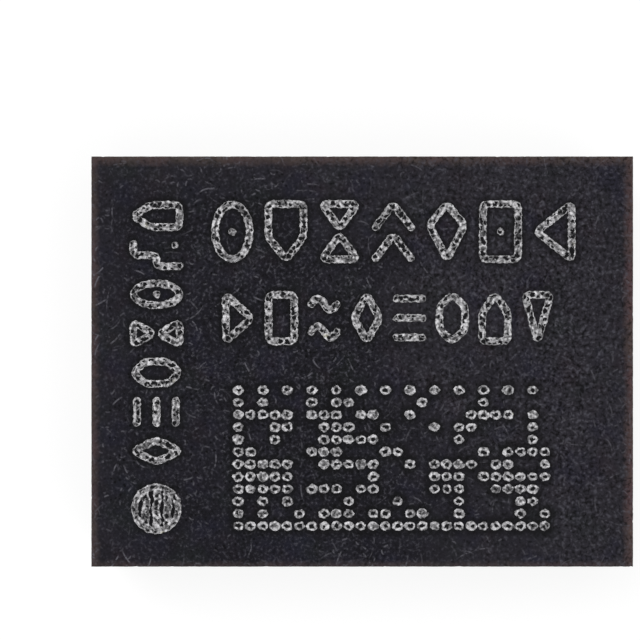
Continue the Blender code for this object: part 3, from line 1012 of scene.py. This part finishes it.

# %% [markdown]
# ## The lands
#
# A land is a copper pad with a dull gold plating. The CAD land has the right
# outline but razor edges and a flat face. A copy of it gets a rounded lip, and
# planes cut its face into small cells, so that noise can make it uneven. The
# grains are too fine for a mesh and come from the material. Each vertex learns
# how far inside the outline it lies, because a painted highlight brightens the
# plating along its rounded rim.

# %% Material of the plating
gold, tree = new_material("gold_plating", "d7b18b", 0.45, metallic=1)
place = in_microns(tree)
nodules = cloud(place, 12, 1, detail=3)
colour = mix(ramp(nodules, 0.3, 0.7), "c49b75", "f1cfa7")
colour = paint(colour, "e1ba95", cloud(place, 70, 2) * 0.5)
dents = use(specks, place, Spacing=34, Radius=0.34, Share=0.16)
colour = paint(colour, "8d6442", dents * 0.6)
inset = attribute(tree, "inset") + (cloud(place, 18, 3) - 0.5) * 18
# A painted highlight: the plating is painted paler along its rounded rim.
colour = paint(colour, "fbe0b8", ramp(inset, 20, 8) * 0.85)
finish_material(gold, colour, nodules - dents * 0.5, 2, slide(nodules, 0.36, 0.6))

# %% One plated land for each CAD land
LAND_LIP, LAND_CELL = 6, 21
FLAT_ANGLE, FOLD_ANGLE = 0.02, 0.5


def whole_faced_copy(node):
    """A merged copy of a CAD node whose flat faces are whole again."""
    bm = merged_copy(node)
    bmesh.ops.dissolve_limit(bm, angle_limit=FLAT_ANGLE, verts=bm.verts, edges=bm.edges)
    return bm


def folds(bm, height):
    """The edges of a level face's outline at that height."""
    return [e for e in bm.edges
            if all(abs(v.co.z - height) < 0.5 for v in e.verts) and e.calc_face_angle(0) > FOLD_ANGLE]


def round_lip(bm, edges, width):
    bmesh.ops.bevel(bm, geom=edges, offset=width, offset_type="OFFSET", segments=3,
                    profile=0.5, affect="EDGES", material=-1)


def cut_in_cells(bm, low, high, cell):
    """Cuts a mesh by upright planes, cell apart in x and in y."""
    for axis in (0, 1):
        count = round((high[axis] - low[axis]) / cell)
        normal = Vector((1 - axis, axis, 0))
        for k in range(1, count):
            at = normal * (low[axis] + (high[axis] - low[axis]) * k / count)
            everything = bm.verts[:] + bm.edges[:] + bm.faces[:]
            bmesh.ops.bisect_plane(bm, geom=everything, plane_co=at, plane_no=normal, dist=0.5)


land_boxes = []
for node in sorted(n for n in frame["nodes"] if "land_" in n):
    low, high = microns_of(node)
    land_boxes.append((low, high))
    bm = whole_faced_copy(node)
    round_lip(bm, folds(bm, 0), LAND_LIP)
    cut_in_cells(bm, low, high, LAND_CELL)
    layer = bm.verts.layers.float.new("inset")
    for vert in bm.verts:
        x, y, z = vert.co
        vert[layer] = min(x - low.x, high.x - x, y - low.y, high.y - y)
        if z < 0.5:
            vert.co.z += 0.7 + 0.7 * noise.noise(vert.co / 40)
    piece = finish_piece("gold_" + node, bm, gold)
    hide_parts(node)

# %% [markdown]
# ## The solder mask
#
# The mask is a thin coat of green lacquer with a window round each land. Its own
# thickness rounds the rim of each window, so a copy of the CAD sheet gets
# bevelled rims and a slightly wavy face. Towards the chip's edge there is no
# copper under the lacquer, and it looks paler and more yellow there. Beside a
# window it thins out and turns dark.

# %% Material of the mask
green, tree = new_material("solder_mask", "063233", 0.4, specular=0.08)
place = in_microns(tree)
nearest = use(rim, place)["Nearest"]
mottle = cloud(place, 26, 1, detail=3)
sway = (cloud(place, 70, 6, detail=3) - 0.5) * 50
colour = mix(cloud(place, 150, 4), "023031", "0a3938")
for width, soft, amount, tint in (
    (118, 40, 0.85, "193c37"),
    (58, 20, 0.8, "264440"),
    (36, 16, 0.85, "374f40"),
    (14, 9, 0.85, "4c564a"),
):
    band = ramp(nearest + sway * (width / 60), width + soft, width - soft)
    colour = paint(colour, tint, band * amount)
colour = paint(colour, "062423", ramp(mottle, 0.46, 0.2) * 0.2)
colour = paint(colour, "23504e", ramp(mottle, 0.5, 0.72) * 0.4)
fibres = use(hairs, place, Spacing=75, Length=60, Width=10, Bend=2, Share=0.45, Shift=6)
colour = paint(colour, "3c6866", fibres * 0.22)
colour = paint(colour, "3c6866", ramp(cloud(place, 12, 2), 0.64, 0.8) * 0.7)
colour = paint(colour, "182220", ramp(attribute(tree, "lip") + sway * 0.3, 19, -3) * 0.9)
colour = paint(colour, "1f443b", ramp(nearest, 1.2, 0.6) * 0.85)
finish_material(green, colour, mottle, 1.6, slide(mottle, 0.34, 0.52))

# %% The lower mask
WINDOW_LIP, MASK_CELL = 9, 42
WIDEST_GAP, LIP_REACH = 60, 60

low, high = microns_of("lower_solder_mask")
bm = whole_faced_copy("lower_solder_mask")
past_land = [v.co.x - land_boxes[0][1].x for v in bm.verts]
window_gap = max(x for x in past_land if x < WIDEST_GAP)
inner_folds = [e for e in folds(bm, low.z)
               if all(HALF_X - abs(v.co.x) > 5 and HALF_Y - abs(v.co.y) > 5 for v in e.verts)]
round_lip(bm, inner_folds, WINDOW_LIP)
cut_in_cells(bm, low, high, MASK_CELL)
layer = bm.verts.layers.float.new("lip")


def window_distance(spot):
    """How far a point of the mask is from the nearest window."""
    best = LIP_REACH
    for box_low, box_high in land_boxes:
        dx = max(box_low.x - window_gap - spot.x, spot.x - box_high.x - window_gap, 0)
        dy = max(box_low.y - window_gap - spot.y, spot.y - box_high.y - window_gap, 0)
        best = min(best, math.hypot(dx, dy))
    return best


for vert in bm.verts:
    vert[layer] = window_distance(vert.co)
    if vert.co.z < low.z + 0.5:
        vert.co.z += 0.9 + 0.9 * noise.noise(vert.co / 120)
mask = finish_piece("green_lower_mask", bm, green)
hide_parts("lower_solder_mask")
print("window gap", round(window_gap, 1))

# %% [markdown]
# ## The laminate
#
# The board is glass cloth in dark resin. Of its faces only a dark ring is seen in
# each window. Its sawn sides show as a band between two green lines, with two
# plies of the cloth cut open. Where a bundle of fibres runs along the side it
# shows as pale streaks, and where one ends in the side, as tiny dots. A sine of
# the way along the side makes each ply rise and fall a little, and its cosine
# says where bundles run and where they end. A bundle thins out where it crosses
# the next one.

# %% Laminate: where the cloth lies
BOARD_LOW, BOARD_HIGH = microns_of("laminate_board")
PLY_OFFSET, PLY_HALF = 45, 27
WEAVE_LENGTH, WEAVE_HEIGHT = 430, 7
PLY_SHIFT = 0.37


def stretched(place, share, size, seed):
    """Noise whose lumps are drawn out along the board."""
    return cloud(vector("MULTIPLY", place, (share, share, 1)), size, seed)


resin, tree = new_material("glass_laminate", "4a4433", 0.55, specular=0.12)
place = in_microns(tree)
x, y, z = xyz(place)
along = x + y + (cloud(place, 300, 1) - 0.5) * 500
over_middle = z - (BOARD_LOW.z + BOARD_HIGH.z) / 2
upper = calc("GREATER_THAN", over_middle, 0)
phase = (along + upper * (PLY_SHIFT * WEAVE_LENGTH)) * (2 * math.pi / WEAVE_LENGTH)
wave = calc("SINE", phase) * WEAVE_HEIGHT
crossing = calc("COSINE", phase)
loose = (stretched(place, 0.1, 9, 5) - 0.5) * 26
waist = (1 - abs(crossing)) * 13
from_ply = abs(abs(over_middle) - PLY_OFFSET - wave) + loose + waist
cloth = ramp(from_ply, PLY_HALF, PLY_HALF - 14)
print("cloth", len(tree.nodes), "nodes")

# %% Laminate: its colours
streaks = stretched(place, 0.06, 5, 2)
cut_ends = use(specks, place, Spacing=7.5, Radius=0.42, Share=0.85)
lines = use(saw_lines, place)
strand = mix(ramp(streaks, 0.35, 0.65), "4b4637", "6b6551")
cut_strand = mix(cut_ends, "413c30", "6d6753")
ends_on = ramp(crossing + loose * 0.03, -0.3, 0.6)
colour = mix(ramp(streaks, 0.3, 0.7), "332f26", "464033")
colour = mix(cloth, colour, mix(ends_on, strand, cut_strand))
colour = paint(colour, "8f8870", ramp(lines, 0.55, 0.8) * 0.3)
# The bottom face, seen as a ring in each window, is darker than the sawn sides.
face = mix(ramp(cloud(place, 22, 4, detail=3), 0.3, 0.7), "1b1c18", "2e2f2b")
colour = mix(ramp(z, BOARD_LOW.z + 3, BOARD_LOW.z + 1), colour, face)
finish_material(resin, colour, cloth * 0.8 + lines * 0.8, 2, slide(streaks, 0.42, 0.62))

# %% [markdown]
# The CAD board's shape is right, so its copy gets nothing but a map for baking.
# In it the thin sides have more room than an automatic map would leave them.

# %% The board
FACE_SCALE = 0.68 / WIDE
FACE_FROM, BACK_FROM = 0.265, 0.955
STRIP_PITCH = BOARD_HIGH.z - BOARD_LOW.z + STRIP_GAP

board = finish_piece("laminate_sheet", merged_copy("laminate_board"), resin)
board.data.shade_flat()
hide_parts("laminate_board")


def board_spot(normal, middle, at):
    x, y, up = at.x + HALF_X, at.y + HALF_Y, at.z - BOARD_LOW.z
    if is_outer_side(normal, middle):
        along_x = abs(normal.y) > abs(normal.x)
        row = (0 if along_x else 2) + (0 if normal.x + normal.y > 0 else 1)
        return (x if along_x else y) * TOP_SCALE, (row * STRIP_PITCH + up) * TOP_SCALE
    if normal.z < -0.5 and up < 1:
        return x * FACE_SCALE, FACE_FROM + y * FACE_SCALE
    return (x + up * 0.4) / LONG * 0.5, BACK_FROM + (y + up * 0.3) / LONG * 0.03


bake_map(board.data, board_spot)
print("map made for", len(board.data.polygons), "faces")

# %% [markdown]
# ## The parts inside
#
# The mould hides the die, the inductor, the capacitors and the resistors. Their
# CAD solids stay, and their materials follow the record's slots, each with a
# grain of its own. The upper mask is hidden too, and wears the lower one's green.

# %% Materials of the inner parts
stuffs = {m["slot"]: m for m in frame["record"]["materials"]}
# each slot: how large its grain is, and how rough it is
GRAINS = {"silicon": (60, 0.2), "ceramic": (14, 0.45), "glaze": (30, 0.15),
          "ferrite": (22, 0.7), "tin": (18, 0.35)}


def dress(node, material):
    """Gives a CAD node a material in place of its own."""
    mesh = frame["nodes"][node].data
    mesh.materials.clear()
    mesh.materials.append(material)


inner_materials = {}
for slot, (size, rough) in GRAINS.items():
    base = (*stuffs[slot]["base_color"], 1)
    darker = (*(c * 0.7 for c in base[:3]), 1)
    metal = 1 if slot == "tin" else 0
    made, tree = new_material("inner_" + slot, base, rough, metallic=metal)
    grit = cloud(in_microns(tree), size, 1, detail=4)
    colour = mix(ramp(grit, 0.3, 0.7), darker, base)
    finish_material(made, colour, grit, 0.8, slide(grit, rough, rough + 0.15))
    inner_materials[slot] = made
for part in frame["record"]["subparts"]:
    if part["material_slot"] in inner_materials:
        dress(part["node"], inner_materials[part["material_slot"]])
dress("upper_solder_mask", green)

# %% [markdown]
# ## Light, floor and background
#
# Two soft suns and a grey sky light the chip so that a colour comes out about as
# it is written. A sun needs no distance, which suits so small an object, and a
# wide angle makes its shadows soft. The sky is white only to the camera and
# through glass, and the floor to reflections too. Part of the floor's white is
# lit, so that the chip's shadow stays on it.

# %% World and lamps
world = bpy.data.worlds.new("studio")
world.use_nodes = True
bpy.context.scene.world = world
sky = world.node_tree
seen = put(sky, "LightPath")
shown = most(seen["Is Camera Ray"], seen["Is Transmission Ray"])
background = sky.nodes["Background"].inputs
feed(background["Color"], "ffffff")
feed(background["Strength"], slide(shown, 0.5, 1))

for name, power, spread, turn, lean in (
    ("key", 1.25, 40, 130, 38),
    ("fill", 0.95, 60, -40, 50),
):
    lamp = bpy.data.lights.new(name, "SUN")
    lamp.energy = power
    lamp.angle = math.radians(spread)
    lamp_object = add_object(name, lamp)
    lamp_object.rotation_euler = (math.radians(lean), 0, math.radians(turn + 90))
    print(name, "sun of strength", power)

# %% Floor
FLOOR_RADIUS, FLOOR_GAP = 250000, 0.5
FLOOR_GREY, FLOOR_GLOW = 0.26, 0.8

bm = bmesh.new()
bmesh.ops.create_circle(bm, cap_ends=True, segments=64, radius=FLOOR_RADIUS)
floor = new_object("floor", bm)
floor.location.z = -FLOOR_GAP * MICRON

paper, tree = new_material("floor_white", (*(FLOOR_GREY,) * 3, 1), 0.9, specular=0)
floor.data.materials.append(paper)
shader = tree.nodes["Principled BSDF"].inputs
feed(shader["Emission Color"], "ffffff")
seen = put(tree, "LightPath")
shown = most(seen["Is Camera Ray"], seen["Is Glossy Ray"], seen["Is Transmission Ray"])
feed(shader["Emission Strength"], shown * FLOOR_GLOW)
print("floor", FLOOR_RADIUS, "microns in radius")
